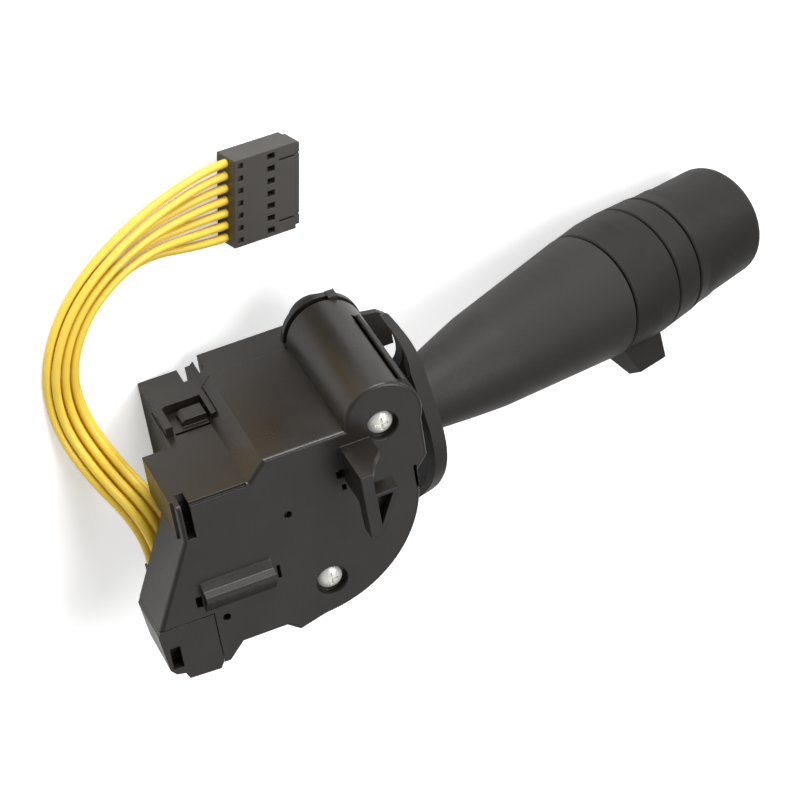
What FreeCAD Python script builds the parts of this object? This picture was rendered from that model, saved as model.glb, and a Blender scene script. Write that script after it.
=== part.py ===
# Combination stalk switch of a steering column: a moulded switch housing, a lever that turns
# and pulls, a rotary ring with a tab, a rotary end knob, and a short seven-wire lead with its plug.
#
# Design frame: x to the right along the face plate, y up the face plate, z out of the face plate.
# Its origin is where the axis of the upper housing screw meets the front of the face plate.
# Every piece is then stood on the table by one placement, "stand": the switch lies on the long
# back edge of its housing, with the end knob just clear of the table beside it, and z is up.
import FreeCAD, Part
import os
import math
import Sketcher

doc = FreeCAD.newDocument("stalk_switch")
sheet = doc.addObject("Spreadsheet::Sheet", "sizes")
Vec = FreeCAD.Vector
Turn = FreeCAD.Rotation
Place = FreeCAD.Placement
X_AXIS = Vec(1, 0, 0)
Y_AXIS = Vec(0, 1, 0)
Z_AXIS = Vec(0, 0, 1)


# Sizes: a number together with the sheet expression that it comes from

class Size:
    """A length or an angle that keeps its spreadsheet expression through sums and products."""

    def __init__(self, value, text=None):
        self.value = float(value)
        self.text = text if text is not None else repr(float(value))

    def _with(self, other, sign, value):
        return Size(value, "(" + self.text + sign + as_size(other).text + ")")

    def __add__(self, other):
        return self._with(other, " + ", self.value + as_size(other).value)

    def __sub__(self, other):
        return self._with(other, " - ", self.value - as_size(other).value)

    def __mul__(self, other):
        return self._with(other, " * ", self.value * as_size(other).value)

    def __truediv__(self, other):
        return self._with(other, " / ", self.value / as_size(other).value)

    def __radd__(self, other):
        return as_size(other) + self

    def __rsub__(self, other):
        return as_size(other) - self

    def __rmul__(self, other):
        return as_size(other) * self

    def __neg__(self):
        return Size(-self.value, "(0 - " + self.text + ")")

    def __float__(self):
        return self.value


def as_size(number):
    return number if isinstance(number, Size) else Size(number)


sheet_row = 0


def size(name, value, note):
    """Writes one driving size into the sheet and hands it back under its own name."""
    global sheet_row
    sheet_row += 1
    sheet.set("A" + str(sheet_row), note)
    sheet.set("B" + str(sheet_row), str(value))
    sheet.setAlias("B" + str(sheet_row), name)
    return Size(value, "sizes." + name)


def degrees(value):
    return math.radians(float(value))


# Driving sizes, in millimetres and degrees

fit_gap = size("fit_gap", 0.15, "gap between moulded pieces that close on each other")
run_gap = size("run_gap", 0.08, "radial clearance of a turning fit")
touch_gap = size("touch_gap", 0.3, "gap between pieces that ride past each other")
wall = size("wall", 1.8, "moulded wall")

plate_thick = size("plate_thick", 2.2, "face plate")
shell_depth = size("shell_depth", 30.0, "front shell, face to seam")
cover_height = size("cover_height", 7.7, "depth of the rear cover")
cover_depth = shell_depth + cover_height
side_depth = size("side_depth", 12.2, "depth of the slanted left flank")
corner_depth = size("corner_depth", 18.0, "depth of the upper left corner box")

recess_level = size("recess_level", -2.2, "height of the recessed top wall")
top_level = size("top_level", 1.5, "height of the full top wall")
arm_level = size("arm_level", -0.2, "height of the rear cover's latch arm")
ramp_left = size("ramp_left", -26.5, "slanted step of the top wall, lower end")
ramp_right = size("ramp_right", -23.0, "slanted step of the top wall, upper end")
body_left = size("body_left", -35.3, "left wall of the deep part of the housing")
plate_left = size("plate_left", -40.5, "left edge of the face plate above the flank")
flank_top = size("flank_top", -10.5, "where the slanted flank leaves the left edge")
flank_left = size("flank_left", -48.4, "foot of the slanted flank")
flank_foot = size("flank_foot", -27.8, "height of the flank's foot")
seam_x = size("seam_x", -37.75, "upright seam of the side cover")
bottom_level = size("bottom_level", -36.6, "bottom edge of the face plate")
curve_x = size("curve_x", -18.4, "centre of the round lower right edge, across")
curve_y = size("curve_y", -13.6, "centre of the round lower right edge, height")
curve_radius = size("curve_radius", 23.5, "radius of the round lower right edge")
plate_right = size("plate_right", 7.6, "right edge of the face plate")

barrel_x = size("barrel_x", 0.4, "barrel axis, across")
barrel_y = size("barrel_y", 1.2, "barrel axis, height")
barrel_radius = size("barrel_radius", 7.7, "barrel outside")
barrel_proud = size("barrel_proud", 0.6, "how far the barrel's end stands behind the seam")
barrel_depth = shell_depth + barrel_proud
collar_radius = size("collar_radius", 7.9, "collar of the rear cover behind the barrel")
collar_gap = size("collar_gap", 1.2, "dark gap between barrel end and collar")
collar_thick = size("collar_thick", 1.3, "thickness of the collar")
flange_end = size("flange_end", 24.0, "rear end of the thin flange beside the barrel")
stem_radius = size("stem_radius", 5.0, "stem that carries the collar")
wing_thick = size("wing_thick", 1.2, "wing of the rear cover behind the lever's opening")

screw_x = size("screw_x", -14.8, "lower screw, across from the upper one")
screw_y = size("screw_y", -29.9, "lower screw, height from the upper one")
sink_radius = size("sink_radius", 3.1, "counterbore of a housing screw")
sink_depth = size("sink_depth", 1.5, "depth of the counterbore")
screw_radius = size("screw_radius", 1.25, "shank of a housing screw")
head_radius = size("head_radius", 2.4, "head of a housing screw")
head_height = size("head_height", 1.3, "height of a screw head")
dome_radius = size("dome_radius", 3.1, "curve of a screw head's top")
screw_length = size("screw_length", 12.0, "shank length of a housing screw")
boss_radius = size("boss_radius", 3.4, "screw boss")
corner_cut = size("corner_cut", 3.0, "slanted lower left corner of the deep housing")
foot_drop = size("foot_drop", 2.0, "how far the round edge runs below the plate's bottom edge")
slot_wide = size("slot_wide", 0.6, "narrow slot in the face plate")
slot_deep = size("slot_deep", 3.0, "depth of the narrow slots")
edge_step = size("edge_step", 0.6, "shallow step along the upper left edge of the plate")
vent_radius = size("vent_radius", 0.75, "small locating holes of the face plate")
face_round = size("face_round", 0.8, "rounded edge of the face plate")

hook_left = size("hook_left", -8.7, "left face of the snap hook")
hook_thick = size("hook_thick", 2.3, "blade of the snap hook")
hook_height = size("hook_height", 11.0, "height of the snap hook above the plate")
hook_top = size("hook_top", -1.4, "upper end of the snap hook")
hook_tip = size("hook_tip", -15.0, "lower end of the snap hook")
barb_top = size("barb_top", -5.9, "upper edge of the hook's barb")
barb_right = size("barb_right", -2.0, "outer corner of the hook's barb")
tongue_top = size("tongue_top", -19.6, "upper end of the guide tongue")
tongue_foot = size("tongue_foot", -27.4, "lower end of the guide tongue")
tongue_height = size("tongue_height", 2.6, "height of the guide tongue above the plate")
tongue_left = size("tongue_left", -39.2, "left end of the guide tongue")
tongue_right = size("tongue_right", -25.4, "right end of the guide tongue")

board_thick = size("board_thick", 1.6, "thickness of the circuit board")
board_front = shell_depth
board_back = board_front + board_thick
post_radius = size("post_radius", 1.6, "posts that carry the circuit board")
BOARD_POSTS = [(-32.3, -6.6), (-32.3, -31.6), (-13.0, -31.6)]

comb_left = size("comb_left", -44.9, "left face of the wire comb")
comb_right = size("comb_right", -36.5, "right face of the wire comb")
comb_low = size("comb_low", -33.0, "lower face of the wire comb")
comb_top = size("comb_top", -25.0, "upper face of the wire comb, where the wires leave")
comb_back = size("comb_back", 18.6, "back of the wire comb below the face plate")
lane_pitch = size("lane_pitch", 1.1, "half the spacing of the wires in the comb")
layer_pitch = size("layer_pitch", 2.5, "spacing of the two rows of wires in the comb")

pivot_x = size("pivot_x", -20.2, "turning axis of the lever, across")
pivot_y = size("pivot_y", -12.8, "turning axis of the lever, height")
pivot_depth = size("pivot_depth", 10.4, "pull axis below the face of the plate")
lever_droop = size("lever_droop", 8.2, "angle of the resting lever below the x axis")
lever_back = size("lever_back", 25.9, "angle of the lever back from the face plate")
rest_tilt = size("rest_tilt", 17.75, "lean of the housing when the switch lies on a table")

journal_radius = size("journal_radius", 2.5, "journals of the turning yoke")
knuckle_radius = size("knuckle_radius", 4.8, "knuckle of the lever core round the pull pin")
knuckle_half = size("knuckle_half", 5.3, "half width of the knuckle")
ear_thick = size("ear_thick", 2.6, "ears of the yoke")
pin_radius = size("pin_radius", 1.5, "pull pin")
yoke_rear = size("yoke_rear", 9.4, "rear end of the yoke's ears from the pull axis")
arm_thick = size("arm_thick", 1.8, "rear arm of the yoke")
bearing_radius = size("bearing_radius", 4.4, "rear bearing boss of the yoke")
bearing_front = pivot_depth + yoke_rear + arm_thick + touch_gap
journal_end = shell_depth - 2.0
tail_reach = size("tail_reach", 9.0, "middle of the contact block from the turning axis")
pad_level = pivot_depth - board_front
plunger_radius = size("plunger_radius", 1.6, "detent plunger")
plunger_tip = size("plunger_tip", 11.6, "tip of the detent plunger from the turning axis")
neck_radius = size("neck_radius", 3.3, "neck of the lever core")
core_radius = size("core_radius", 5.0, "rod of the lever core inside the stalk")
bore_radius = size("bore_radius", 2.6, "bore of the lever core")
core_end = size("core_end", 121.0, "outer end of the lever core's rod")
spindle_start = size("spindle_start", 60.0, "inner end of the knob's spindle")
spindle_end = size("spindle_end", 128.0, "outer end of the knob's spindle")

shield_face = size("shield_face", 35.85, "outer face of the oval shield, along the lever")
shield_skin = size("shield_skin", 1.4, "thickness of the shield")
shield_rim = size("shield_rim", 3.4, "depth of the shield's rim")
web_low = size("web_low", 12.4, "lower edge of the web in the shield's upper end, at the middle")
web_slope = size("web_slope", 23.7, "slope of the web's lower edge")
barrel_pass = size("barrel_pass", 2.0, "gap that the turning shield keeps from the barrel")

neck_end = size("neck_end", 37.2, "foot of the stalk")
foot_radius = size("foot_radius", 6.2, "stalk radius at its foot")
flare_end = size("flare_end", 58.0, "end of the stalk's flare")
flare_radius = size("flare_radius", 9.95, "stalk radius at the end of the flare")
flare_bend = size("flare_bend", 400.0, "radius of the flare's curve")
groove_one = size("groove_one", 88.95, "first groove, between stalk and tab ring")
groove_two = size("groove_two", 101.6, "second groove, between tab ring and fixed band")
groove_three = size("groove_three", 108.5, "third groove, between fixed band and end knob")
groove_half = size("groove_half", 0.2, "half width of a groove")
stalk_radius = size("stalk_radius", 12.95, "stalk radius at the first groove")
ring_bend = size("ring_bend", 95.8, "soft edge round the tab ring")
ring_radius = size("ring_radius", 13.5, "largest radius of the tab ring")
band_radius = size("band_radius", 13.35, "fixed band at the second groove")
knob_flange = size("knob_flange", 12.9, "end knob at the third groove")
knob_bend = size("knob_bend", 111.8, "end of the knob's flared lip")
knob_lip = size("knob_lip", 12.45, "knob radius behind the lip")
knob_step = size("knob_step", 115.4, "soft step on the end knob")
knob_radius = size("knob_radius", 12.2, "knob radius at the step")
knob_end = size("knob_end", 130.2, "end face of the knob")
knob_end_radius = size("knob_end_radius", 11.6, "knob radius at its end")
knob_round = size("knob_round", 2.6, "rounding of the knob's end edge")
knob_skirt = size("knob_skirt", 2.6, "wall of the knob at its open end")
edge_break = size("edge_break", 0.3, "small bevel on the lever's grooves")
sleeve_radius = size("sleeve_radius", 10.2, "sleeve that the tab ring turns on")
spindle_radius = size("spindle_radius", 2.5, "spindle of the end knob")

tab_back = size("tab_back", 89.3, "start of the tab's root along the lever")
tab_front = size("tab_front", 100.8, "end of the tab's root along the lever")
tab_tip_back = size("tab_tip_back", 92.9, "start of the tab's outer end along the lever")
tab_tip_front = size("tab_tip_front", 100.5, "end of the tab's outer end along the lever")
tab_seat = size("tab_seat", 11.5, "root of the tab from the lever's axis")
tab_reach = size("tab_reach", 18.3, "outer end of the tab from the lever's axis")
tab_root = size("tab_root", 6.2, "thickness of the tab at its root")
tab_tip = size("tab_tip", 3.4, "thickness of the tab at its end")
tab_angle = size("tab_angle", 30.6, "tab, forward from straight down")

wire_radius = size("wire_radius", 0.82, "outside of a wire")
plug_pitch = size("plug_pitch", 2.54, "pitch of the plug's cavities")
plug_width = size("plug_width", 17.8, "plug, across the row of wires")
plug_length = size("plug_length", 15.3, "plug, along the wires")
plug_height = size("plug_height", 5.4, "plug, thickness")
cell_half = size("cell_half", 0.55, "half width of a contact's cavity in the plug")

WIRES = 7


# Frames of the moving pieces, all in the design frame

turn_frame = Place(Vec(float(pivot_x), float(pivot_y), -float(pivot_depth)),
                   Turn(Z_AXIS, -float(lever_droop)))
lever_frame = turn_frame.multiply(Place(Vec(0, 0, 0), Turn(Y_AXIS, float(lever_back))))


def stand_on_table():
    """The design frame on the table: lean about y, then lift the back edge to the table top."""
    lean = Place(Vec(0, 0, 0), Turn(Y_AXIS, -float(rest_tilt)))
    back_edge = lean.multVec(Vec(float(body_left) + 2 * float(fit_gap), 0, -float(cover_depth)))
    end_centre = lean.multVec(lever_frame.multVec(Vec(float(knob_end - knob_round), 0, 0)))
    heading = lean.multVec(lever_frame.Rotation.multVec(X_AXIS))
    round_centre = float(knob_end_radius - knob_round) * math.sqrt(1 - heading.z ** 2)
    knob_bottom = end_centre.z - round_centre - float(knob_round)
    lift = -min(back_edge.z, knob_bottom)
    return Place(Vec(0, 0, lift), lean.Rotation)


stand = stand_on_table()
nodes = []
lead_nodes = []


# Sketches, pads and cuts

def origin_plane(body, role):
    return [f for f in body.Origin.OriginFeatures if f.Role == role][0]


def new_body(name):
    body = doc.addObject("PartDesign::Body", name)
    body.Label = name
    return body


def new_sketch(body, plane, level):
    sketch = body.newObject("Sketcher::SketchObject", body.Name + "_sketch")
    sketch.AttachmentSupport = [(origin_plane(body, plane), "")]
    sketch.MapMode = "FlatFace"
    sketch.setExpression("AttachmentOffset.Base.z", as_size(level).text)
    return sketch


def hold(sketch, kind, size_value, *where):
    """Adds one dimension and ties it to the sheet."""
    index = sketch.addConstraint(Sketcher.Constraint(kind, *where, float(size_value)))
    sketch.setExpression("Constraints[" + str(index) + "]", as_size(size_value).text)


def arc_between(first, last, radius, side):
    """Arc from first to last; side is 1 when it bulges to the right of the way from first to last."""
    chord = last - first
    middle = (first + last) * 0.5
    across = Vec(chord.y, -chord.x, 0).normalize()
    height = math.sqrt(radius ** 2 - (chord.Length / 2) ** 2)
    centre = middle - across * height * side
    top = centre + across * radius * side
    return Part.Arc(first, top, last)


def draw_path(sketch, path):
    """Closed outline. A corner is (x, y); a corner (x, y, radius, side) is reached by an arc."""
    corners = [Vec(float(c[0]), float(c[1]), 0) for c in path]
    count = len(path)
    joint_of = []
    for k in range(count):
        first = corners[k]
        last = corners[(k + 1) % count]
        target = path[(k + 1) % count]
        if len(target) == 4:
            index = sketch.addGeometry(arc_between(first, last, float(target[2]), target[3]), False)
            flips = (sketch.getPoint(index, 1) - first).Length > (sketch.getPoint(index, 2) - first).Length
            joint_of.append((index, 2, 1) if flips else (index, 1, 2))
        else:
            index = sketch.addGeometry(Part.LineSegment(first, last), False)
            joint_of.append((index, 1, 2))
    for k in range(count):
        here = joint_of[k]
        after = joint_of[(k + 1) % count]
        sketch.addConstraint(Sketcher.Constraint("Coincident", here[0], here[2], after[0], after[1]))
    for k in range(count):
        index, start, _ = joint_of[k]
        hold(sketch, "DistanceX", path[k][0], -1, 1, index, start)
        hold(sketch, "DistanceY", path[k][1], -1, 1, index, start)
        target = path[(k + 1) % count]
        if len(target) == 4:
            hold(sketch, "Radius", target[2], index)


def draw_circle(sketch, x, y, radius):
    circle = Part.Circle(Vec(float(x), float(y), 0), Z_AXIS, float(radius))
    index = sketch.addGeometry(circle, False)
    hold(sketch, "DistanceX", x, -1, 1, index, 3)
    hold(sketch, "DistanceY", y, -1, 1, index, 3)
    hold(sketch, "Radius", radius, index)


def draw(sketch, outline):
    """An outline is a path, or a list of circles given as ("circle", x, y, radius)."""
    if outline[0][0] == "circle":
        for _, x, y, radius in outline:
            draw_circle(sketch, x, y, radius)
    else:
        draw_path(sketch, outline)


def pad(body, outline, low, high, plane="XY_Plane"):
    sketch = new_sketch(body, plane, low)
    draw(sketch, outline)
    feature = body.newObject("PartDesign::Pad", body.Name + "_pad")
    feature.Profile = sketch
    feature.setExpression("Length", (as_size(high) - low).text)
    body.Tip = feature
    return feature


def cut(body, outline, low, high, plane="XY_Plane"):
    sketch = new_sketch(body, plane, high)
    draw(sketch, outline)
    feature = body.newObject("PartDesign::Pocket", body.Name + "_cut")
    feature.Profile = sketch
    feature.setExpression("Length", (as_size(high) - low).text)
    body.Tip = feature
    return feature


def spin(body, outline, groove=False):
    """Turns an outline (along, out) about the body's x axis."""
    sketch = new_sketch(body, "XY_Plane", 0)
    draw(sketch, outline)
    kind = "PartDesign::Groove" if groove else "PartDesign::Revolution"
    feature = body.newObject(kind, body.Name + ("_groove" if groove else "_turned"))
    feature.Profile = sketch
    feature.ReferenceAxis = (sketch, ["H_Axis"])
    feature.Angle = 360.0
    body.Tip = feature
    return feature


def box_path(x0, y0, x1, y1):
    return [(x0, y0), (x1, y0), (x1, y1), (x0, y1)]


def keep(item, frame=None):
    """Puts a finished piece in its own frame, on the table, and lists it for the export."""
    item.Placement = stand.multiply(frame) if frame else stand
    nodes.append(item)
    return item


def bound(kind, name, **sizes):
    """A primitive solid whose properties are bound to the sheet."""
    item = doc.addObject(kind, name)
    for key, value in sizes.items():
        item.setExpression(key, as_size(value).text)
    return item


def at(item, x=0, y=0, z=0, turn=None):
    """Places a primitive inside its piece, each coordinate bound to the sheet."""
    if turn:
        item.Placement = Place(Vec(0, 0, 0), turn)
    for axis, value in (("x", x), ("y", y), ("z", z)):
        item.setExpression("Placement.Base." + axis, as_size(value).text)
    return item


def block(name, x0, x1, y0, y1, z0, z1):
    item = bound("Part::Box", name, Length=as_size(x1) - x0, Width=as_size(y1) - y0,
                 Height=as_size(z1) - z0)
    return at(item, x0, y0, z0)


def rod(name, radius, length, x=0, y=0, z=0, along="z"):
    turns = {"z": None, "x": Turn(Y_AXIS, 90), "y": Turn(X_AXIS, -90)}
    item = bound("Part::Cylinder", name, Radius=radius, Height=length)
    return at(item, x, y, z, turns[along])


def joined(name, pieces):
    item = doc.addObject("Part::MultiFuse", name)
    item.Shapes = pieces
    return item


def minus(name, base, tool):
    item = doc.addObject("Part::Cut", name)
    item.Base = base
    item.Tool = tool
    return item


def group(name, pieces):
    """Several separate solids that are one node, such as identical screws."""
    item = doc.addObject("Part::Compound", name)
    item.Links = pieces
    item.Label = name
    return item


# Outlines that more than one moulding shares

def right_side(inset):
    """The right and lower edge of the housing, from the barrel round to the bottom corner."""
    radius = curve_radius - inset
    return [(barrel_x, top_level - inset),
            (plate_right - inset, barrel_y),
            (plate_right - 0.2 - inset, curve_y + 3.8),
            (curve_x + radius * 0.999, curve_y + 1.0),
            (curve_x + 1.5, curve_y - radius * 0.998, radius, -1)]


def deep_outline(inset):
    """Outline of the deep part of the housing."""
    return [(body_left + inset, recess_level - inset),
            (ramp_left + inset * 0.4, recess_level - inset),
            (ramp_right + inset * 0.4, top_level - inset)] + right_side(inset) + [
            (body_left + corner_cut + inset * 0.4, bottom_level + inset),
            (body_left + inset, bottom_level + corner_cut + inset * 0.4)]


def make_front_shell():
    body = new_body("front_shell")
    face = [(plate_left, recess_level), (ramp_left, recess_level), (ramp_right, top_level)]
    face += right_side(0)
    face += [(-22.4, bottom_level - foot_drop), (-24.8, bottom_level), (-33.4, bottom_level),
             (-36.5, bottom_level - 3.3), (seam_x, bottom_level - 3.3), (seam_x, flank_foot),
             (flank_left, flank_foot), (plate_left, flank_top)]
    pad(body, face, -side_depth, 0)
    pad(body, deep_outline(0), -shell_depth, -plate_thick)
    pad(body, box_path(plate_left - 0.5, flank_top, body_left + 1, recess_level),
        -corner_depth, -plate_thick)
    pad(body, [("circle", barrel_x, barrel_y, barrel_radius)], -barrel_depth, 0)
    round_face(body)
    shell_cavity(body)
    shell_openings(body)
    # thin flange beside the barrel and the dark groove that parts the two
    flange = [(4.6, 7.0), (5.3, 8.0), (5.8, 8.0), (plate_right, 3.8), (plate_right, barrel_y),
              (4.6, barrel_y)]
    pad(body, flange, -flange_end, -edge_step)
    groove = [(4.0, 7.1), (4.7, 7.9), (5.0, 7.6), (6.9, 4.6), (6.4, 4.3)]
    cut(body, groove, -flange_end - 1.0, -1.8)
    # guide tongue: an upright step facing up the plate, falling away smoothly below
    tongue = [(tongue_top, -0.4), (tongue_top - 1.0, 0.35), (tongue_top - 1.9, 1.2),
              (tongue_top - 2.4, tongue_height), (tongue_top - 3.6, tongue_height), (tongue_foot, -0.4)]
    pad(body, tongue, tongue_left, tongue_right, "YZ_Plane")
    make_hook(body)
    # raised catch block in the recess of the top wall
    catch = [(-31.4, recess_level - 1.0), (ramp_left - 0.1, recess_level - 1.0),
             (ramp_left - 0.1, recess_level + 1.5), (-30.6, recess_level + 1.5), (-31.4, recess_level + 0.9)]
    pad(body, catch, -26.2, -22.6)
    return keep(body)


def round_face(body):
    """Rounds the front edge of the plate and the barrel, but not the seam of the side cover."""
    doc.recompute()
    plain = body.Tip
    edges = []
    for number, edge in enumerate(plain.Shape.Edges):
        box = edge.BoundBox
        beside_seam = box.XMax < float(seam_x) + 0.1 and box.YMax < float(flank_foot) + 0.1
        if box.ZMin > -0.001 and not beside_seam:
            edges.append("Edge" + str(number + 1))
    feature = body.newObject("PartDesign::Fillet", "front_shell_round")
    feature.Base = (plain, edges)
    feature.setExpression("Radius", face_round.text)
    body.Tip = feature


def shell_cavity(body):
    """Hollows the front shell, and adds the screw boss and the yoke's front bearing."""
    inside = [(body_left + wall, recess_level - wall), (ramp_left + wall * 0.4, recess_level - wall),
              (ramp_right + wall * 0.4, top_level - wall),
              (barrel_x - barrel_radius - wall, top_level - wall),
              (barrel_x - barrel_radius - wall, barrel_y - barrel_radius - wall),
              (curve_x + (curve_radius - wall) * 0.98, barrel_y - barrel_radius - wall),
              (curve_x + (curve_radius - wall) * 0.98, curve_y + 1.0),
              (curve_x + 1.5, curve_y - (curve_radius - wall) * 0.99, curve_radius - wall, -1),
              (body_left + corner_cut + 0.4, bottom_level + wall),
              (body_left + wall, bottom_level + corner_cut + 0.4)]
    cut(body, inside, -shell_depth, -plate_thick)
    # the upper left corner box is hollow too
    cut(body, box_path(plate_left + 1.2, flank_top + 1.5, body_left + wall + 0.1, recess_level - wall),
        -corner_depth, -plate_thick)
    pad(body, [("circle", screw_x, screw_y, boss_radius)], -shell_depth, -plate_thick + 0.5)
    pad(body, [("circle", pivot_x, pivot_y, journal_radius + 1.6)], -plate_thick - 0.8, -plate_thick + 0.5)
    cut(body, [("circle", pivot_x, pivot_y, journal_radius + run_gap)], -plate_thick - 0.8, -1.2)


def shell_openings(body):
    """Cuts the lever's opening, the screw holes and the slots of the face plate."""
    cut(body, box_path(barrel_x - barrel_radius - wall - 1.4, pivot_y - 16.0, plate_right + 5.0, pivot_y + 7.6),
        -shell_depth, -pivot_depth - 0.6)
    holes = [("circle", pivot_x - 0.3, pivot_y + 0.8, vent_radius), ("circle", -35.6, -29.6, vent_radius)]
    cut(body, holes, -side_depth, 0)
    sinks = [("circle", 0, 0, sink_radius), ("circle", screw_x, screw_y, sink_radius)]
    cut(body, sinks, -sink_depth, 0)
    shanks = [("circle", 0, 0, screw_radius + 0.1), ("circle", screw_x, screw_y, screw_radius + 0.1)]
    cut(body, shanks, -screw_length - sink_depth - 1.0, -sink_depth)
    # slots that free the edge of the plate, and the slots at both ends of the tongue
    cut(body, box_path(plate_left + 1.0, -9.9, plate_left + 2.6, -1.2), -slot_deep - 1.0, 1.0)
    cut(body, box_path(4.3, -16.2, 4.3 + slot_wide, -11.0), -slot_deep, 1.0)
    cut(body, box_path(tongue_left - 1.4, -25.4, tongue_left - 0.2, -23.0), -slot_deep, 1.0)
    cut(body, box_path(tongue_right + 0.8, -25.2, tongue_right + 0.8 + slot_wide, -22.2), -slot_deep, 1.0)
    # shallow step along the upper left edge, and the slot in the floor of the latch window
    cut(body, box_path(plate_left + 2.6, recess_level - edge_step, ramp_left - 0.4, recess_level + 1.0),
        -edge_step, 1.0)
    cut(body, box_path(body_left + 2.0, recess_level - 1.0, ramp_left, recess_level + 1.0), -21.6, -20.8)
    # two square holes beside the snap hook
    cut(body, box_path(hook_left - 1.5, -8.2, hook_left - 0.05, -6.3), -slot_deep, 1.0)
    cut(body, box_path(hook_left - 0.9, -10.9, hook_left - 0.05, -9.7), -slot_deep, 1.0)


def make_hook(body):
    """Snap hook on the face plate: a tall blade with a buttress and a barbed free end."""
    hook_right = hook_left + hook_thick
    blade = [(hook_top, -0.5), (hook_top, hook_height), (hook_tip, hook_height),
             (hook_tip, hook_height - 3.6), (-9.2, hook_height - 4.2), (-9.2, -0.5)]
    pad(body, blade, hook_left, hook_right, "YZ_Plane")
    buttress = [(hook_left + 0.5, -0.5), (-2.6, -0.5), (-2.6, 4.6), (-4.4, hook_height * 0.62),
                (hook_right, hook_height), (hook_left + 0.5, hook_height)]
    pad(body, buttress, -hook_top, -hook_top + 1.5, "XZ_Plane")
    barb = [(hook_left + 1.0, barb_top), (barb_right, barb_top), (hook_right, hook_tip),
            (hook_left + 1.0, hook_tip)]
    pad(body, barb, hook_height - 3.6, hook_height)
    dish = [(hook_right + 0.1, barb_top - 0.7), (barb_right - 1.2, barb_top - 0.7),
            (hook_right + 0.1, barb_top - 7.0)]
    cut(body, dish, hook_height - 2.2, hook_height + 0.5)


def make_rear_cover():
    body = new_body("rear_cover")
    front = -shell_depth - fit_gap
    back = -cover_depth
    left = body_left + 2 * fit_gap
    arm_low = recess_level + fit_gap
    cover_right = curve_x + 13.0
    collar_front = -barrel_depth - collar_gap
    outline = [(left, arm_level), (ramp_right - 1.6, arm_level), (ramp_right, top_level),
               (barrel_x, top_level), (barrel_x + 3.0, barrel_y - 3.0),
               (cover_right, pivot_y + 5.6), (cover_right, pivot_y - 16.0),
               (curve_x + 4.0, curve_y - curve_radius + 0.5), (left + corner_cut, bottom_level),
               (left, bottom_level + corner_cut)]
    pad(body, outline, back, front)
    inside = [(left + wall, recess_level - wall), (ramp_right, recess_level - wall),
              (barrel_x - barrel_radius - wall, recess_level - wall),
              (barrel_x - barrel_radius - wall, pivot_y + 5.6 - wall),
              (cover_right - wall, pivot_y + 5.6 - wall), (cover_right - wall, pivot_y - 16.0 + wall),
              (curve_x + 2.0, curve_y - curve_radius + 0.5 + wall),
              (left + corner_cut + 0.4, bottom_level + wall),
              (left + wall, bottom_level + corner_cut + 0.4)]
    cut(body, inside, back + wall, front)
    # latch arm that lies in the recess of the front shell's top wall, with its window
    arm = [(left, arm_low), (ramp_left - 0.1, arm_low), (ramp_left + 1.65, arm_level), (left, arm_level)]
    pad(body, arm, front - 1.0, -21.2)
    window = [(left + 1.4, -27.3), (left + 2.1, -28.0), (ramp_left + 0.5, -28.0), (ramp_left + 0.5, -20.0),
              (left + 1.4, -20.0)]
    cut(body, window, -arm_level - 0.1, -arm_low + 0.1, "XZ_Plane")
    # two slits behind the arm let it spring
    cut(body, box_path(-27.2, -4.6, -25.6, 0.5), back - 1, back + 4.4)
    cut(body, box_path(-23.9, -4.6, -22.9, 2.5), back - 1, back + 4.4)
    # collar behind the end of the barrel, its stem, its small peg and the spigot inside the barrel
    pad(body, [("circle", barrel_x, barrel_y, collar_radius)], collar_front - collar_thick, collar_front)
    pad(body, [("circle", barrel_x, barrel_y, stem_radius)], back, collar_front - collar_thick + 0.1)
    pad(body, [("circle", barrel_x, barrel_y, barrel_radius - 1.6)], collar_front - 0.5, front - 0.2)
    cut(body, [("circle", barrel_x, barrel_y, barrel_radius + fit_gap)], -barrel_depth - fit_gap, front + 1)
    pad(body, box_path(barrel_x + 2.0, barrel_y + 5.6, barrel_x + 3.8, barrel_y + 7.8),
        collar_front - collar_thick, -barrel_depth - fit_gap)
    # wing behind the lever's opening
    wing = [(cover_right - 0.5, barrel_y - 0.7), (barrel_x + 6.0, barrel_y + 1.8), (9.7, -1.3), (12.7, -1.8),
            (14.3, -3.2), (14.8, -4.6), (14.8, -9.9), (cover_right - 0.5, -9.9)]
    pad(body, wing, back, back + wing_thick)
    # rear bearing of the yoke and the posts that carry the circuit board
    pad(body, [("circle", pivot_x, pivot_y, bearing_radius)], back + wall - 0.5, -bearing_front)
    for post_x, post_y in BOARD_POSTS:
        pad(body, [("circle", post_x, post_y, post_radius)], back + wall - 0.5, -board_back - 0.05)
    cut(body, [("circle", pivot_x, pivot_y, journal_radius + run_gap)], -journal_end - touch_gap,
        -bearing_front)
    return keep(body)


def make_side_cover():
    body = new_body("side_cover")
    right = seam_x - fit_gap
    top = flank_foot - fit_gap
    outline = [(right, top), (right, -39.2), (right - 0.8, -40.6), (-44.8, -40.3), (-45.4, -38.8),
               (-47.1, -38.4), (-48.1, -37.1), (flank_left - 0.5, top - 1.0), (flank_left, top)]
    pad(body, outline, -side_depth, 0)
    cut(body, box_path(-43.6, -36.8, right - 1.6, top - 1.6), -side_depth, -plate_thick)
    cut(body, box_path(-47.4, -37.2, -45.4, -32.3), -3.2, 1.0)
    return keep(body)


def make_wire_comb():
    """Grommet block behind the flank that the seven wires leave through."""
    body = new_body("wire_comb")
    pad(body, box_path(comb_left, comb_low, comb_right, comb_top - 1.0), -comb_back, -side_depth - fit_gap)
    for x, n in wire_seats():
        pad(body, [("circle", x, n, wire_radius + 0.2)], -comb_top, -comb_top + 1.5, "XZ_Plane")
    return keep(body)


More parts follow.
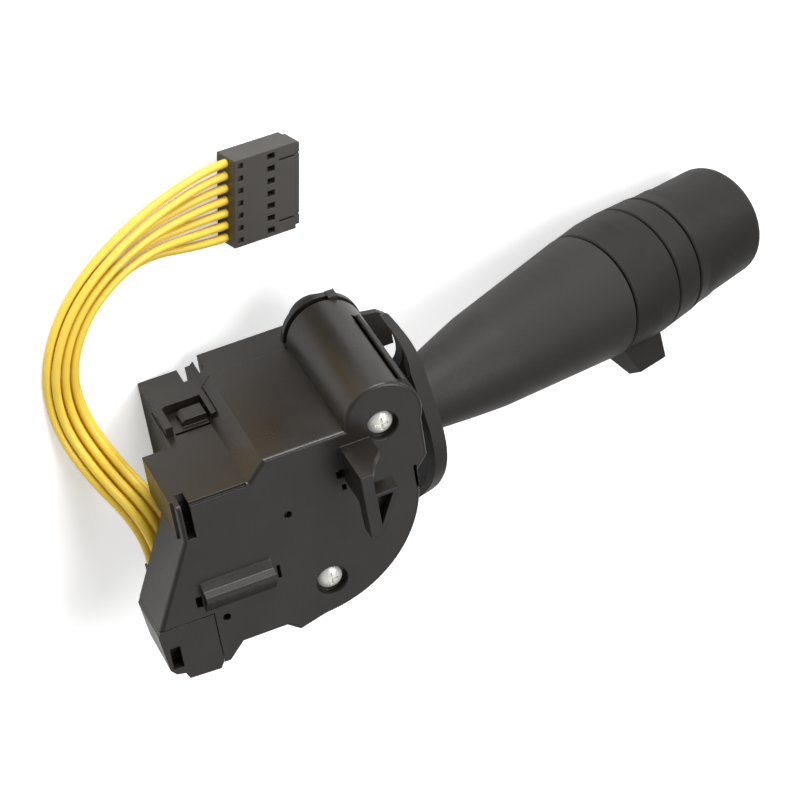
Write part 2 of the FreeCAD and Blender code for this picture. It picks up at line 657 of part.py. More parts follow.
def wire_seats():
    """Where the seven wires leave the comb: across and depth; odd lanes in the lower row."""
    middle_x = (comb_left + comb_right) / 2
    middle_n = -(comb_back + side_depth + fit_gap) / 2
    seats = []
    for lane in range(-3, 4):
        row = 0.5 if lane % 2 == 0 else -0.5
        seats.append((middle_x + lane_pitch * lane, middle_n + layer_pitch * row))
    return seats


def make_screws():
    screws = []
    for number, (x, y) in enumerate(((as_size(0), as_size(0)), (screw_x, screw_y))):
        name = "screw_" + str(number)
        head = rod(name + "_head", head_radius, head_height, x, y, -sink_depth)
        dome = at(bound("Part::Sphere", name + "_dome", Radius=dome_radius), x, y,
                  head_height - sink_depth - dome_radius)
        rounded = doc.addObject("Part::MultiCommon", name + "_rounded")
        rounded.Shapes = [head, dome]
        shank = rod(name + "_shank", screw_radius, screw_length + 0.4, x, y, -sink_depth - screw_length)
        slots = [block(name + "_slot_a", x - 1.3, x + 1.3, y - 0.3, y + 0.3, -sink_depth + 0.6,
                       -sink_depth + head_height + 0.5),
                 block(name + "_slot_b", x - 0.3, x + 0.3, y - 1.3, y + 1.3, -sink_depth + 0.6,
                       -sink_depth + head_height + 0.5)]
        whole = joined(name + "_whole", [rounded, shank])
        screws.append(minus(name, whole, joined(name + "_cross", slots)))
    return keep(group("housing_screws", screws))


def make_board():
    body = new_body("circuit_board")
    left = body_left + wall + 0.45
    low = bottom_level + wall + 1.9
    high = recess_level - wall - 0.3
    pad(body, [(left, low), (-14.9, low), (-9.7, low + 4.6), (-9.7, high), (left, high)],
        -board_back, -board_front)
    cut(body, [("circle", pivot_x, pivot_y, bearing_radius + 0.5)], -board_back - 1, -board_front + 1)
    keep(body)
    pads = [block("pad_" + str(k), 1.9 * k - tail_reach - 2.4, 1.9 * k - tail_reach - 1.4, -5.5, 5.5,
                  pad_level, pad_level + 0.15) for k in range(3)]
    keep(group("contact_pads", pads), turn_frame)




def make_yoke():
    """Gimbal yoke: journals on the turning axis, ears for the pull pin, tail for the detent."""
    body = new_body("turn_yoke")
    inner = knuckle_half + 0.1
    outer = inner + ear_thick
    front_top = pivot_depth - plate_thick - 1.3
    front_low = knuckle_radius + 0.4
    # across x, along z: the ears, one each side of the knuckle
    ear = [(-5.4, -yoke_rear), (2.6, -yoke_rear), (4.6, -3.0), (4.6, front_low), (-5.4, front_low)]
    pad(body, ear, -outer, -inner, "XZ_Plane")
    pad(body, ear, inner, outer, "XZ_Plane")
    pad(body, box_path(-5.4, -outer, 4.6, outer), front_low - 0.05, front_top)
    pad(body, box_path(-5.4, -outer, 2.6, outer), -yoke_rear - arm_thick, -yoke_rear + 0.05)
    # tail block with the bore of the detent plunger
    pad(body, box_path(-10.6, -4.0, -5.3, 4.0), -4.2, front_low + 0.2)
    pad(body, box_path(-6.4, -outer, -5.2, outer), -4.2, front_low)
    cut(body, [("circle", 0, 0, plunger_radius + run_gap)], -11.0, -6.2, "YZ_Plane")
    # arm that carries the contact block
    pad(body, box_path(-tail_reach - 2.0, -3.4, -5.0, 3.4), -yoke_rear - arm_thick, -yoke_rear)
    # journals
    pad(body, [("circle", 0, 0, journal_radius)], front_top - 0.1, pivot_depth - 1.4)
    pad(body, [("circle", 0, 0, journal_radius)], pivot_depth - journal_end, -yoke_rear - 1.7)
    # bore of the pull pin through both ears
    cut(body, [("circle", 0, 0, pin_radius + 0.01)], -outer - 1, outer + 1, "XZ_Plane")
    return keep(body, turn_frame)


def make_detent():
    plain = rod("plunger_rod", plunger_radius, plunger_tip - 1.6 - 8.3, -plunger_tip + 1.6, 0, 0, "x")
    tip = bound("Part::Sphere", "plunger_nose", Radius=plunger_radius)
    at(tip, -plunger_tip + 1.6, 0, 0)
    keep(labelled(joined("detent_plunger", [plain, tip])), turn_frame)
    block_right = pivot_x - 8.6
    stock = block("track_stock", body_left + wall + 0.1, block_right, pivot_y - 4.4, pivot_y + 8.0,
                  -pivot_depth - 3.6, -pivot_depth + 3.6)
    sweep = rod("track_sweep", plunger_tip + touch_gap, 10, pivot_x, pivot_y, -pivot_depth - 5)
    notches = []
    for number, angle in enumerate((-12.0, 0.0, 12.0)):
        heading = degrees(180 - float(lever_droop) + angle)
        reach = plunger_tip + 0.1
        notches.append(rod("notch_" + str(number), 1.5, 10, pivot_x + reach * math.cos(heading),
                           pivot_y + reach * math.sin(heading), -pivot_depth - 5))
    keep(labelled(minus("detent_track", stock, joined("track_cuts", [sweep] + notches))))


def labelled(item):
    item.Label = item.Name
    return item


def coil(name, radius, wire, pitch, height, frame):
    """A coil spring of square wire along z, made of one swept helix."""
    path = Part.Wire(Part.makeHelix(pitch, height, radius).Edges)
    corners = [Vec(radius + wire * x, 0, wire * z) for x, z in ((-1, -1), (1, -1), (1, 1), (-1, 1), (-1, -1))]
    item = doc.addObject("Part::Feature", name)
    item.Shape = path.makePipeShell([Part.makePolygon(corners)], True, True)
    item.Label = name
    return keep(item, frame)


def make_springs():
    behind_plunger = Place(Vec(-8.0, 0, 0), Turn(Y_AXIS, 90))
    coil("detent_spring", 1.1, 0.22, 0.75, 1.5, turn_frame.multiply(behind_plunger))
    round_pin = Place(Vec(0, float(knuckle_half + ear_thick) + 0.5, 0), Turn(X_AXIS, -90))
    coil("return_spring", float(pin_radius) + 0.65, 0.35, 0.95, 2.0, turn_frame.multiply(round_pin))


def make_pull_pin():
    half = knuckle_half + ear_thick + 3.0
    pin = rod("pull_pin_rod", pin_radius, half + knuckle_half + ear_thick, 0, -knuckle_half - ear_thick, 0,
              "y")
    return keep(group("pull_pin", [pin]), turn_frame)


def make_lever_core():
    body = new_body("lever_core")
    pad(body, [("circle", 0, 0, knuckle_radius)], -knuckle_half, knuckle_half, "XZ_Plane")
    spin(body, [(3.0, 0), (3.0, neck_radius), (neck_end - 6.0, neck_radius), (neck_end - 5.0, core_radius),
                (core_end, core_radius), (core_end, 0)])
    cut(body, [("circle", 0, 0, pin_radius + run_gap)], -10, 10, "XZ_Plane")
    cut(body, [("circle", 0, 0, bore_radius)], spindle_start - 1.0, core_end + 1.0, "YZ_Plane")
    return keep(body, lever_frame)




def closed_curve(points):
    curve = Part.BSplineCurve()
    curve.interpolate(points, PeriodicFlag=True)
    return curve


def make_shield():
    """Oval shield that closes the housing round the lever, with a web in its upper end."""
    right = [(19.1, -3.3), (18.0, -1.4), (14.8, 2.8), (8.0, 6.6), (-1.6, 10.4), (-7.9, 10.9),
             (-13.0, 9.0), (-18.2, 4.4), (-22.6, -2.6)]
    left = [(-18.0, -7.4), (-8.0, -9.8), (4.0, -9.4), (14.0, -7.9)]
    rim = float(shield_rim)
    skin = float(shield_skin)
    inner_face = float(shield_face) - rim
    points = [Vec(inner_face, y, z) for y, z in right + left]
    curve = closed_curve(points)
    inner_points = []
    for point in points:
        along = curve.tangent(curve.parameter(point))[0]
        inner_points.append(point + X_AXIS.cross(along) * skin)
    outer_face = Part.Face(Part.Wire(curve.toShape()))
    dish = outer_face.extrude(Vec(rim, 0, 0))
    hollow = Part.Face(Part.Wire(closed_curve(inner_points).toShape())).extrude(Vec(rim - skin, 0, 0))
    web_side = Part.makeBox(skin, 30, 60, Vec(inner_face, 0, -30))
    web_edge = Place(Vec(0, float(web_low), 0), Turn(X_AXIS, float(web_slope)))
    web_side.Placement = web_edge.multiply(web_side.Placement)
    web = outer_face.extrude(Vec(skin, 0, 0)).common(web_side)
    collar = Part.makeCylinder(float(foot_radius), skin, Vec(inner_face + rim, 0, 0), X_AXIS)
    hole = Part.makeCylinder(float(core_radius) + 0.05, 60, Vec(0, 0, 0), X_AXIS)
    shape = dish.cut(hollow).fuse(web).fuse(collar).cut(hole)
    # the barrel as the turning shield meets it, a few degrees apart
    for angle in (0, 4, 8, 12):
        turned_lever = Place(turn_frame.Base, Turn(Z_AXIS, angle - float(lever_droop))).multiply(
            Place(Vec(0, 0, 0), Turn(Y_AXIS, float(lever_back))))
        barrel = Part.makeCylinder(float(collar_radius + barrel_pass), 60,
                                   Vec(float(barrel_x), float(barrel_y), -50))
        barrel.Placement = turned_lever.inverse().multiply(barrel.Placement)
        shape = shape.cut(barrel)
    item = doc.addObject("Part::Feature", "shield")
    item.Shape = shape
    item.Label = "shield"
    return keep(item, lever_frame)


def make_stalk():
    body = new_body("stalk")
    start = neck_end + 0.1
    end = groove_one - groove_half
    skin = wall
    outline = [(start, core_radius + 0.05), (start, foot_radius),
               (flare_end, flare_radius, flare_bend, -1), (end - edge_break, stalk_radius),
               (end, stalk_radius - edge_break), (end, core_radius + 0.05)]
    spin(body, outline)
    hollow = [(start + 12.0, core_radius + 1.2), (flare_end, flare_radius - skin),
              (end - 3.0, stalk_radius - skin), (end - 3.0, core_radius + 1.2)]
    spin(body, hollow, groove=True)
    return keep(body, lever_frame)


def make_ring():
    body = new_body("tab_ring")
    start = groove_one + groove_half
    end = groove_two - groove_half
    bore = sleeve_radius + run_gap
    outline = [(start, bore), (start, stalk_radius - edge_break), (start + edge_break, stalk_radius),
               (ring_bend, ring_radius), (end - edge_break, ring_radius - 0.05),
               (end, ring_radius - edge_break - 0.05), (end, bore)]
    spin(body, outline)
    # the tab: a wedge that stands out from the ring, thinner and shorter towards its end
    root = new_sketch(body, "XZ_Plane", tab_seat)
    draw(root, box_path(tab_back, -tab_root / 2, tab_front, tab_root / 2))
    tip = new_sketch(body, "XZ_Plane", tab_reach)
    draw(tip, box_path(tab_tip_back, -tab_tip / 2, tab_tip_front, tab_tip / 2))
    tab = body.newObject("PartDesign::AdditiveLoft", "tab_ring_tab")
    tab.Profile = root
    tab.Sections = [tip]
    body.Tip = tab
    return keep(body, lever_frame.multiply(Place(Vec(0, 0, 0), Turn(X_AXIS, -float(tab_angle)))))


def make_band():
    body = new_body("fixed_band")
    start = groove_one - groove_half + 0.05
    collar = groove_two + groove_half
    end = groove_three - groove_half
    bore = core_radius + 0.05
    outline = [(start, bore), (start, sleeve_radius), (collar, sleeve_radius),
               (collar, band_radius - edge_break),
               (collar + edge_break, band_radius), (end - edge_break, knob_flange + 0.05),
               (end, knob_flange + 0.05 - edge_break), (end, bore)]
    spin(body, outline)
    return keep(body, lever_frame)


def make_knob():
    body = new_body("end_knob")
    start = groove_three + groove_half
    sleeve = core_radius + 2.2
    outline = [(start, knob_flange - knob_skirt), (start, knob_flange - edge_break),
               (start + edge_break, knob_flange),
               (knob_bend, knob_lip), (knob_step, knob_radius + 0.12), (knob_step + 0.2, knob_radius - 0.1),
               (knob_end - knob_round, knob_end_radius),
               (knob_end, knob_end_radius - knob_round, knob_round, -1), (knob_end, 0),
               (core_end + touch_gap, 0), (core_end + touch_gap, core_radius + run_gap),
               (start + 1.0, core_radius + run_gap), (start + 1.0, sleeve),
               (knob_end - 4.0, sleeve), (knob_end - 4.0, knob_end_radius - knob_skirt)]
    spin(body, outline)
    cut(body, [("circle", 0, 0, spindle_radius + 0.02)], core_end, spindle_end + 0.1, "YZ_Plane")
    return keep(body, lever_frame)


def make_spindle():
    item = rod("knob_spindle_rod", spindle_radius, spindle_end - spindle_start, spindle_start, 0, 0, "x")
    return keep(group("knob_spindle", [item]), lever_frame)


def make_carriage():
    """Contact block under the yoke's arm, with the fingers that sweep the board's pads."""
    top = -yoke_rear - arm_thick
    low = pad_level + 0.9
    body = new_body("contact_block")
    pad(body, box_path(-tail_reach - 3.0, -3.8, -tail_reach + 3.4, 3.8), low, top)
    keep(body, turn_frame)
    fingers = [block("finger_" + str(k), 1.9 * k - tail_reach - 2.2, 1.9 * k - tail_reach - 1.6, -3.2, 3.2,
                     pad_level + 0.45, low) for k in range(3)]
    keep(group("block_contacts", fingers), turn_frame)


# The lead: seven wires from the comb down to the table and round to the plug

plug_centre = Vec(10.9, 27.2, 0)
plug_heading = -11.6
EXIT_RUN = 7.5

# middle of the bundle: x, y, height, lane pitch, the upper row's offset (y, z), heading in degrees
ROUTE = [
    (-36.9, -7.0, 5.6, 1.10, (1.0, 1.3), 92.0),
    (-38.4, 3.5, 0.9, 1.05, (0.3, 1.5), 92.0),
    (-37.2, 14.5, 0.9, 1.05, (0.0, 1.5), 70.0),
    (-30.2, 24.0, 0.9, 1.05, (0.0, 1.5), 40.0),
    (-17.0, 29.6, 0.9, 1.25, (0.0, 1.4), 11.0),
]


def turned(angle):
    return Vec(math.cos(degrees(angle)), math.sin(degrees(angle)), 0)


def wire_route(lane, seat):
    """Route points of one wire: out of the comb, down to the table in its lane, into the plug."""
    upper = 1 if lane % 2 == 0 else 0
    exit_point = stand.multVec(Vec(float(seat[0]), float(comb_top), float(seat[1])))
    points = [exit_point, exit_point + Y_AXIS * (EXIT_RUN + 1.1 * upper)]
    for x, y, height, pitch, offset, heading in ROUTE:
        side = turned(heading - 90)
        points.append(Vec(x, y + offset[0] * upper, height + offset[1] * upper) + side * pitch * lane)
    along = turned(plug_heading)
    side = turned(plug_heading - 90)
    mouth = plug_centre - along * float(plug_length / 2)
    height = float(plug_height / 2)
    points.append(mouth - along * 5.5 + side * float(plug_pitch) * lane + Z_AXIS * height)
    points.append(mouth + side * float(plug_pitch) * lane + Z_AXIS * height)
    return points


def tube_along(points, radius):
    """A tube of straight runs joined by tangent arcs as large as the runs allow."""
    edges = []
    here = points[0]
    radii = []
    for k in range(1, len(points) - 1):
        back = points[k - 1] - points[k]
        ahead = points[k + 1] - points[k]
        reach = 0.45 * min(back.Length, ahead.Length)
        half_turn = (math.pi - back.getAngle(ahead)) / 2
        radii.append(reach / math.tan(half_turn))
        back.normalize()
        ahead.normalize()
        start = points[k] + back * reach
        end = points[k] + ahead * reach
        bisector = (back + ahead).normalize()
        to_centre = math.sqrt(radii[-1] ** 2 + reach ** 2)
        middle = points[k] + bisector * (to_centre - radii[-1])
        edges.append(Part.LineSegment(here, start).toShape())
        edges.append(Part.Arc(start, middle, end).toShape())
        here = end
    edges.append(Part.LineSegment(here, points[-1]).toShape())
    path = Part.Wire(edges)
    heading = points[1] - points[0]
    section = Part.Wire(Part.makeCircle(radius, points[0], heading))
    solid = path.makePipeShell([section], True, False)
    return solid, path.Length, radii


def make_wires():
    for number, seat in enumerate(wire_seats()):
        points = wire_route(number - 3, seat)
        solid, length, radii = tube_along(points, float(wire_radius))
        item = doc.addObject("Part::Feature", "wire_" + str(number + 1))
        item.Shape = solid
        item.Label = item.Name
        nodes.append(item)
        lead_nodes.append(item)
        section = math.pi * float(wire_radius) ** 2
        print(item.Name, "length", round(length, 1), "smallest arc", round(min(radii), 1),
              "volume ratio", round(solid.Volume / (section * length), 3))


def make_plug():
    """Plug housing with a latching window over each contact, lying flat on the table."""
    frame = stand.inverse().multiply(Place(plug_centre, Turn(Z_AXIS, plug_heading)))
    body = new_body("plug_housing")
    half_length = plug_length / 2
    half_width = plug_width / 2
    pad(body, box_path(-half_length, -half_width, half_length - 1.2, half_width), 0, plug_height)
    pad(body, box_path(half_length - 1.3, -half_width + 0.5, half_length, half_width - 0.5), 0.5,
        plug_height - 0.5)
    for lane in range(-3, 4):
        middle = plug_pitch * lane
        cut(body, box_path(-0.1, middle - 0.6, 1.6, middle + 0.6), -0.5, plug_height + 0.5)
        cut(body, box_path(-half_length + 0.8, middle - cell_half, -half_length + 2.0, middle + cell_half),
            plug_height - 0.8, plug_height + 0.5)
        cut(body, [("circle", middle, plug_height / 2, cell_half)], half_length - 4.0, half_length + 1.0,
            "YZ_Plane")
        # cavity of the contact, open into the window
        cut(body, box_path(-half_length + 2.5, middle - cell_half, 0.0, middle + cell_half),
            plug_height / 2 - cell_half, plug_height / 2 + cell_half)
    for side in (-1, 1):
        middle = (half_width - 2.6) * side
        cut(body, box_path(half_length - 5.0, middle - 0.2, half_length + 0.5, middle + 0.2),
            plug_height - 0.7, plug_height + 0.5)
    keep(body, frame)
    contacts = [block("contact_" + str(lane + 3), -half_length + 2.5, -0.5, plug_pitch * lane - 0.5,
                      plug_pitch * lane + 0.5, plug_height / 2 - cell_half, plug_height / 2 + 0.5)
                for lane in range(-3, 4)]
    keep(group("plug_terminals", contacts), frame)
    lead_nodes.extend(nodes[-2:])


def centre_on_table():
    """Shifts every piece so that the middle of the switch, without its lead, is over the origin."""
    box = FreeCAD.BoundBox()
    for item in nodes:
        if item not in lead_nodes:
            box.add(item.Shape.optimalBoundingBox(False))
    move = Vec(-box.Center.x, -box.Center.y, -box.ZMin)
    for item in nodes:
        item.Placement = Place(move, Turn()).multiply(item.Placement)
    doc.recompute()
    sizes = (box.XLength, box.YLength, box.ZLength)
    print("shift", [round(v, 4) for v in move], "size", [round(v, 3) for v in sizes])
    return move


def check_and_write():
    for item in doc.Objects:
        if "Invalid" in item.State or "Error" in item.State:
            raise RuntimeError(item.Name + " failed: " + str(item.State))
    os.makedirs("parts", exist_ok=True)
    for item in nodes:
        shape = item.Shape
        if shape.isNull() or not shape.isValid():
            raise RuntimeError(item.Label + " has no valid shape")
        shape.exportStep("parts/" + item.Label + ".step")
    print(len(nodes), "nodes written")


make_front_shell()
make_rear_cover()
make_side_cover()
make_wire_comb()
make_screws()
make_board()
make_yoke()
make_detent()
make_springs()
make_pull_pin()
make_lever_core()
make_shield()
make_stalk()
make_ring()
make_band()
make_knob()
make_spindle()
make_carriage()
make_wires()
make_plug()
doc.recompute()
shift = centre_on_table()
check_and_write()
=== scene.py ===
import math

import bpy
from mathutils import Matrix, Vector


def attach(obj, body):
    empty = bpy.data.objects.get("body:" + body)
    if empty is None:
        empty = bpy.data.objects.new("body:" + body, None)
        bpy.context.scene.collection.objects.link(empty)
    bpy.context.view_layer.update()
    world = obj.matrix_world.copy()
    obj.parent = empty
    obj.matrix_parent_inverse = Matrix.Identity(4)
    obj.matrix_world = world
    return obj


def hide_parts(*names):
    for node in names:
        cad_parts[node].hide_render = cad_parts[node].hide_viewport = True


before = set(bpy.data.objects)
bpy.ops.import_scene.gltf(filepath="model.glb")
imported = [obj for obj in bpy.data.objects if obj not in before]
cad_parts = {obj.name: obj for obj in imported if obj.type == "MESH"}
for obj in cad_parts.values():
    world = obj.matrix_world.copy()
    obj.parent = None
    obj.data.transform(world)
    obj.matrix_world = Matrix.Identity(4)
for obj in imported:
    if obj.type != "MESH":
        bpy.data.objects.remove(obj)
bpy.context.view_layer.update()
MM = 0.001

# Where the design frame of the switch stands on the table, in millimetres and degrees. The design
# frame has x along the face plate and z out of it. The housing leans on its long back edge.
TABLE_SHIFT = Vector((-33.446, 16.765, 0.0))
REST_HEIGHT = Vector((0.0, 0.0, 46.575))
REST_LEAN = -17.75
STAND = (Matrix.Translation((TABLE_SHIFT + REST_HEIGHT) * MM)
         @ Matrix.Rotation(math.radians(REST_LEAN), 4, "Y"))


def on_switch(x, y, z):
    """A point of the design frame, given in millimetres, in the row frame."""
    return STAND @ (Vector((x, y, z)) * MM)


# Camera, fitted to the photograph: its place in millimetres, the ways its three axes point in the
# row frame, its lens and sensor in Blender's lens millimetres, and its range of sight in metres

CAMERA_PLACE = Vector((-347.679, 443.945, 538.405))
CAMERA_RIGHT = Vector((0.76807, -0.14557, 0.62360))
CAMERA_UP = Vector((0.46451, 0.79698, -0.38607))
CAMERA_BACK = Vector((-0.44079, 0.58620, 0.67976))
FOCAL_LENGTH = 180.0
SENSOR_WIDTH = 36.0
NEAREST_SEEN = 0.01
FARTHEST_SEEN = 20.0


def set_camera():
    lens = bpy.data.cameras.new("portrait_lens")
    lens.lens = FOCAL_LENGTH
    lens.sensor_width = SENSOR_WIDTH
    lens.clip_start = NEAREST_SEEN
    lens.clip_end = FARTHEST_SEEN
    camera = bpy.data.objects.new("portrait_camera", lens)
    turn = Matrix((CAMERA_RIGHT, CAMERA_UP, CAMERA_BACK)).transposed().to_4x4()
    camera.matrix_world = Matrix.Translation(CAMERA_PLACE * MM) @ turn
    bpy.context.scene.collection.objects.link(camera)
    bpy.context.scene.camera = camera


# Finishes

# radius that a mould leaves on its edges, and the rays that round it
MOULD_EDGE = 0.22 * MM
EDGE_RAYS = 6

# the values that nearly all of the noise lies between
NOISE_LOW = 0.3
NOISE_HIGH = 0.7

# how finely the noise breaks up: broad clouds and patches, and grain
BROAD_DETAIL = 3.0
GRAIN_DETAIL = 2.0

# grains to the metre
TONE_CLOUDS = 60.0
GLOSS_PATCHES = 140.0
METAL_TONE = 400.0
METAL_GLOSS = 900.0
METAL_GRAIN = 2500.0
METAL_RELIEF = 0.02 * MM


def new_finish(name):
    material = bpy.data.materials.new(name)
    material.use_nodes = True
    tree = material.node_tree
    shader = tree.nodes["Principled BSDF"]
    return material, tree, shader


def grain(tree, scale, detail=GRAIN_DETAIL):
    """Fine noise in object space, where scale is grains to the metre."""
    place = tree.nodes.new("ShaderNodeTexCoord")
    noise = tree.nodes.new("ShaderNodeTexNoise")
    noise.inputs["Scale"].default_value = scale
    noise.inputs["Detail"].default_value = detail
    tree.links.new(place.outputs["Object"], noise.inputs["Vector"])
    return noise.outputs["Fac"]


def between(tree, factor, low, high):
    """Noise spread from a low value to a high one."""
    spread = tree.nodes.new("ShaderNodeMapRange")
    spread.inputs["From Min"].default_value = NOISE_LOW
    spread.inputs["From Max"].default_value = NOISE_HIGH
    spread.inputs["To Min"].default_value = low
    spread.inputs["To Max"].default_value = high
    tree.links.new(factor, spread.inputs["Value"])
    return spread.outputs["Result"]


def tinted(tree, factor, dark, light):
    """Noise as a colour, from a dark tone to a light one."""
    mix = tree.nodes.new("ShaderNodeMix")
    mix.data_type = "RGBA"
    mix.inputs["A"].default_value = (*dark, 1.0)
    mix.inputs["B"].default_value = (*light, 1.0)
    tree.links.new(factor, mix.inputs["Factor"])
    return mix.outputs["Result"]


def raised(tree, shader, height, depth, edge=0.0):
    """Surface relief of a given depth, on edges that are rounded by a radius if one is given."""
    bump = tree.nodes.new("ShaderNodeBump")
    bump.inputs["Distance"].default_value = depth
    bump.inputs["Strength"].default_value = 1.0
    tree.links.new(height, bump.inputs["Height"])
    if edge:
        rounded = tree.nodes.new("ShaderNodeBevel")
        rounded.samples = EDGE_RAYS
        rounded.inputs["Radius"].default_value = edge
        tree.links.new(rounded.outputs["Normal"], bump.inputs["Normal"])
    tree.links.new(bump.outputs["Normal"], shader.inputs["Normal"])


def moulded(name, dark, light, rough, grains, relief, sheen=0.5):
    """Injection-moulded plastic: cloudy tone, uneven gloss and a fine grain, on rounded edges."""
    material, tree, shader = new_finish(name)
    shader.inputs["Specular IOR Level"].default_value = sheen
    tone = tinted(tree, grain(tree, TONE_CLOUDS, BROAD_DETAIL), dark, light)
    gloss = between(tree, grain(tree, GLOSS_PATCHES, BROAD_DETAIL), *rough)
    tree.links.new(tone, shader.inputs["Base Color"])
    tree.links.new(gloss, shader.inputs["Roughness"])
    raised(tree, shader, grain(tree, grains), relief, edge=MOULD_EDGE)
    return material


def plated(name, dark, light, rough, metal=1.0):
    """Bare or plated metal with a fine grain. Dull plating is a little less metallic."""
    material, tree, shader = new_finish(name)
    shader.inputs["Metallic"].default_value = metal
    tone = tinted(tree, grain(tree, METAL_TONE), dark, light)
    gloss = between(tree, grain(tree, METAL_GLOSS), *rough)
    tree.links.new(tone, shader.inputs["Base Color"])
    tree.links.new(gloss, shader.inputs["Roughness"])
    raised(tree, shader, grain(tree, METAL_GRAIN), METAL_RELIEF)
    return material


def make_finishes():
    """Every finish: its two tones, its range of roughness, its grains to the metre and relief."""
    return {
        "housing": moulded("housing_black", dark=(0.014, 0.011, 0.009), light=(0.020, 0.016, 0.013),
                           rough=(0.27, 0.36), grains=2600.0, relief=0.02 * MM),
        "lever": moulded("lever_grain", dark=(0.015, 0.0128, 0.0112), light=(0.020, 0.0172, 0.0153),
                         rough=(0.46, 0.56), grains=3800.0, relief=0.06 * MM, sheen=0.42),
        "grip": moulded("grip_rubber", dark=(0.0085, 0.0072, 0.0062), light=(0.012, 0.0102, 0.009),
                        rough=(0.48, 0.58), grains=4400.0, relief=0.05 * MM, sheen=0.36),
        "inner": moulded("inner_grey", dark=(0.06, 0.06, 0.065), light=(0.08, 0.08, 0.085),
                         rough=(0.45, 0.55), grains=2000.0, relief=0.02 * MM),
        "plug": moulded("plug_grey", dark=(0.052, 0.047, 0.043), light=(0.068, 0.062, 0.056),
                        rough=(0.38, 0.50), grains=3000.0, relief=0.03 * MM),
        "insulation": moulded("yellow_insulation", dark=(0.88, 0.60, 0.06),
                              light=(0.94, 0.68, 0.09), rough=(0.28, 0.38),
                              grains=1500.0, relief=0.01 * MM),
        "zinc": plated("bright_zinc", dark=(0.88, 0.87, 0.82), light=(0.97, 0.96, 0.92),
                       rough=(0.22, 0.34), metal=0.35),
        "steel": plated("plain_steel", dark=(0.42, 0.42, 0.43), light=(0.58, 0.58, 0.59),
                        rough=(0.25, 0.40)),
        "brass": plated("contact_brass", dark=(0.62, 0.46, 0.20), light=(0.78, 0.62, 0.30),
                        rough=(0.25, 0.40)),
        "board": moulded("board_laminate", dark=(0.05, 0.10, 0.04), light=(0.07, 0.13, 0.05),
                         rough=(0.35, 0.45), grains=900.0, relief=0.03 * MM),
    }


# the finish that each piece of the switch wears
WEARS = {
    "housing": ("front_shell", "rear_cover", "side_cover", "wire_comb"),
    "lever": ("stalk", "shield"),
    "grip": ("fixed_band", "tab_ring", "end_knob"),
    "inner": ("lever_core", "turn_yoke", "detent_plunger", "detent_track", "contact_block"),
    "plug": ("plug_housing",),
    "zinc": ("housing_screws",),
    "steel": ("detent_spring", "return_spring", "pull_pin", "knob_spindle"),
    "brass": ("contact_pads", "block_contacts", "plug_terminals"),
    "board": ("circuit_board",),
}


def dress(thing, material):
    """Puts a finish on a piece, in every slot that it has."""
    if not thing.material_slots:
        thing.data.materials.append(material)
    for place in thing.material_slots:
        place.material = material


# The lead, in millimetres and degrees, on the same points as in part.py

WIRE_COUNT = 7
WIRE_RADIUS = 0.82
PLUG_CENTRE = Vector((10.9, 27.2, 0.0))
PLUG_HEADING = -11.6
PLUG_LENGTH = 15.3
PLUG_HEIGHT = 5.4
PLUG_PITCH = 2.54
PLUG_RUN = 5.5
COMB_MIDDLE = Vector((-40.7, -25.0, -15.475))
COMB_PITCH = 1.1
COMB_ROWS = 2.5
EXIT_RUN = 7.5
UPPER_EXTRA_RUN = 1.1

# middle of the bundle: x, y, height, lane pitch, the upper row's offset (y, z), heading
ROUTE = (
    (-36.9, -7.0, 5.6, 1.10, (1.0, 1.3), 92.0),
    (-38.4, 3.5, 0.9, 1.05, (0.3, 1.5), 92.0),
    (-37.2, 14.5, 0.9, 1.05, (0.0, 1.5), 70.0),
    (-30.2, 24.0, 0.9, 1.05, (0.0, 1.5), 40.0),
    (-17.0, 29.6, 0.9, 1.25, (0.0, 1.4), 11.0),
)

# how finely a wire is drawn, along it and round it
FINENESS_ALONG = 10
FINENESS_ROUND = 4


def heading(angle):
    return Vector((math.cos(math.radians(angle)), math.sin(math.radians(angle)), 0.0))


def wire_route(lane):
    """Route points of one wire in the row frame, in metres. Lane 0 is the bundle's middle."""
    upper = 1 if lane % 2 == 0 else 0
    seat = COMB_MIDDLE + Vector((COMB_PITCH * lane, 0, COMB_ROWS * (upper - 0.5)))
    leaving = on_switch(*seat) / MM - TABLE_SHIFT
    points = [leaving, leaving + Vector((0, EXIT_RUN + UPPER_EXTRA_RUN * upper, 0))]
    for x, y, height, pitch, offset, angle in ROUTE:
        middle = Vector((x, y + offset[0] * upper, height + offset[1] * upper))
        points.append(middle + heading(angle - 90) * pitch * lane)
    along = heading(PLUG_HEADING)
    side = heading(PLUG_HEADING - 90)
    mouth = (PLUG_CENTRE - along * PLUG_LENGTH / 2 + side * PLUG_PITCH * lane
             + Vector((0, 0, PLUG_HEIGHT / 2)))
    points.append(mouth - along * PLUG_RUN)
    points.append(mouth)
    return [(point + TABLE_SHIFT) * MM for point in points]


def make_wires(finish):
    """Seven smooth wires between the comb and the plug."""
    for number in range(WIRE_COUNT):
        points = wire_route(number - WIRE_COUNT // 2)
        curve = bpy.data.curves.new("lead_wire_" + str(number + 1), "CURVE")
        curve.dimensions = "3D"
        curve.resolution_u = FINENESS_ALONG
        curve.bevel_depth = WIRE_RADIUS * MM
        curve.bevel_resolution = FINENESS_ROUND
        curve.use_fill_caps = True
        spline = curve.splines.new("NURBS")
        spline.points.add(len(points) - 1)
        for place, point in zip(spline.points, points):
            place.co = (*point, 1.0)
        spline.order_u = 3
        spline.use_endpoint_u = True
        wire = bpy.data.objects.new(curve.name, curve)
        bpy.context.scene.collection.objects.link(wire)
        dress(wire, finish)
        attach(wire, "housing")
        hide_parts("wire_" + str(number + 1))


# Table and light

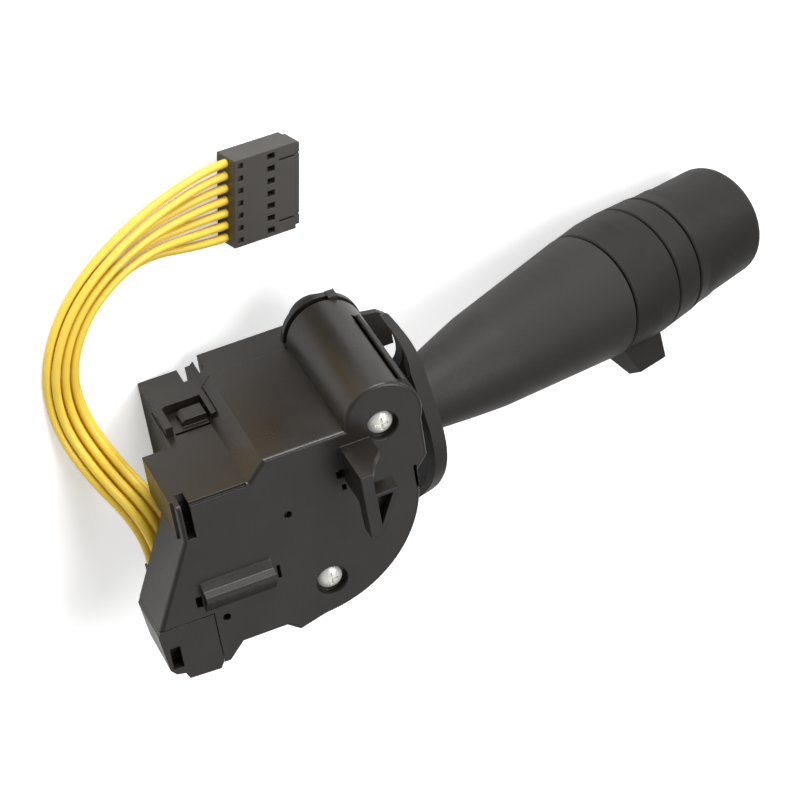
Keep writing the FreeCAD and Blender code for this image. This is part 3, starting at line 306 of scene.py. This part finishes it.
WHITE = (1.0, 1.0, 1.0, 1.0)
TABLE_WIDTH = 6.0
TABLE_DARK = (0.95, 0.95, 0.95)
TABLE_LIGHT = (0.97, 0.97, 0.97)
TABLE_CLOUDS = 30.0
TABLE_ROUGHNESS = 0.9
TABLE_SHEEN = 0.1
TABLE_LIFT = 0.42
SKY_STRENGTH = 0.36

# name, place, the point that it faces, width in metres, power in watts
SOFTBOXES = (
    ("key_softbox", (0.2, 1.4, 0.45), (0, 0, 0.02), 0.7, 16.0),
    ("overhead_softbox", (0.25, 0.35, 1.4), (0, 0, 0.02), 0.8, 11.0),
    ("front_softbox", (-0.1, -0.9, 1.25), (0, 0, 0.02), 0.9, 1.6),
    ("end_softbox", (1.2, 0.5, 0.5), (0.03, 0, 0.02), 0.5, 3.0),
)


def make_table():
    """A white table. The camera sees it a little brighter than the light on it."""
    bpy.ops.mesh.primitive_plane_add(size=TABLE_WIDTH, location=(0, 0, 0))
    table = bpy.context.object
    table.name = "table_top"
    material, tree, shader = new_finish("pale_table")
    shader.inputs["Roughness"].default_value = TABLE_ROUGHNESS
    shader.inputs["Specular IOR Level"].default_value = TABLE_SHEEN
    shader.inputs["Emission Color"].default_value = WHITE
    tone = tinted(tree, grain(tree, TABLE_CLOUDS), TABLE_DARK, TABLE_LIGHT)
    tree.links.new(tone, shader.inputs["Base Color"])
    ray = tree.nodes.new("ShaderNodeLightPath")
    lift = tree.nodes.new("ShaderNodeMath")
    lift.operation = "MULTIPLY"
    lift.inputs[1].default_value = TABLE_LIFT
    tree.links.new(ray.outputs["Is Camera Ray"], lift.inputs[0])
    tree.links.new(lift.outputs["Value"], shader.inputs["Emission Strength"])
    dress(table, material)


def softbox(name, place, aim, width, power):
    lamp = bpy.data.lights.new(name, "AREA")
    lamp.shape = "SQUARE"
    lamp.size = width
    lamp.energy = power
    thing = bpy.data.objects.new(name, lamp)
    thing.location = place
    thing.rotation_euler = (Vector(place) - Vector(aim)).to_track_quat("Z", "Y").to_euler()
    bpy.context.scene.collection.objects.link(thing)


def light_studio():
    world = bpy.data.worlds.new("studio")
    bpy.context.scene.world = world
    world.use_nodes = True
    sky = world.node_tree.nodes["Background"]
    sky.inputs["Color"].default_value = WHITE
    sky.inputs["Strength"].default_value = SKY_STRENGTH
    for values in SOFTBOXES:
        softbox(*values)
    bpy.context.scene.view_settings.view_transform = "Standard"


set_camera()
finishes = make_finishes()
make_wires(finishes["insulation"])
for finish_name, node_names in WEARS.items():
    for node_name in node_names:
        dress(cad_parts[node_name], finishes[finish_name])
make_table()
light_studio()
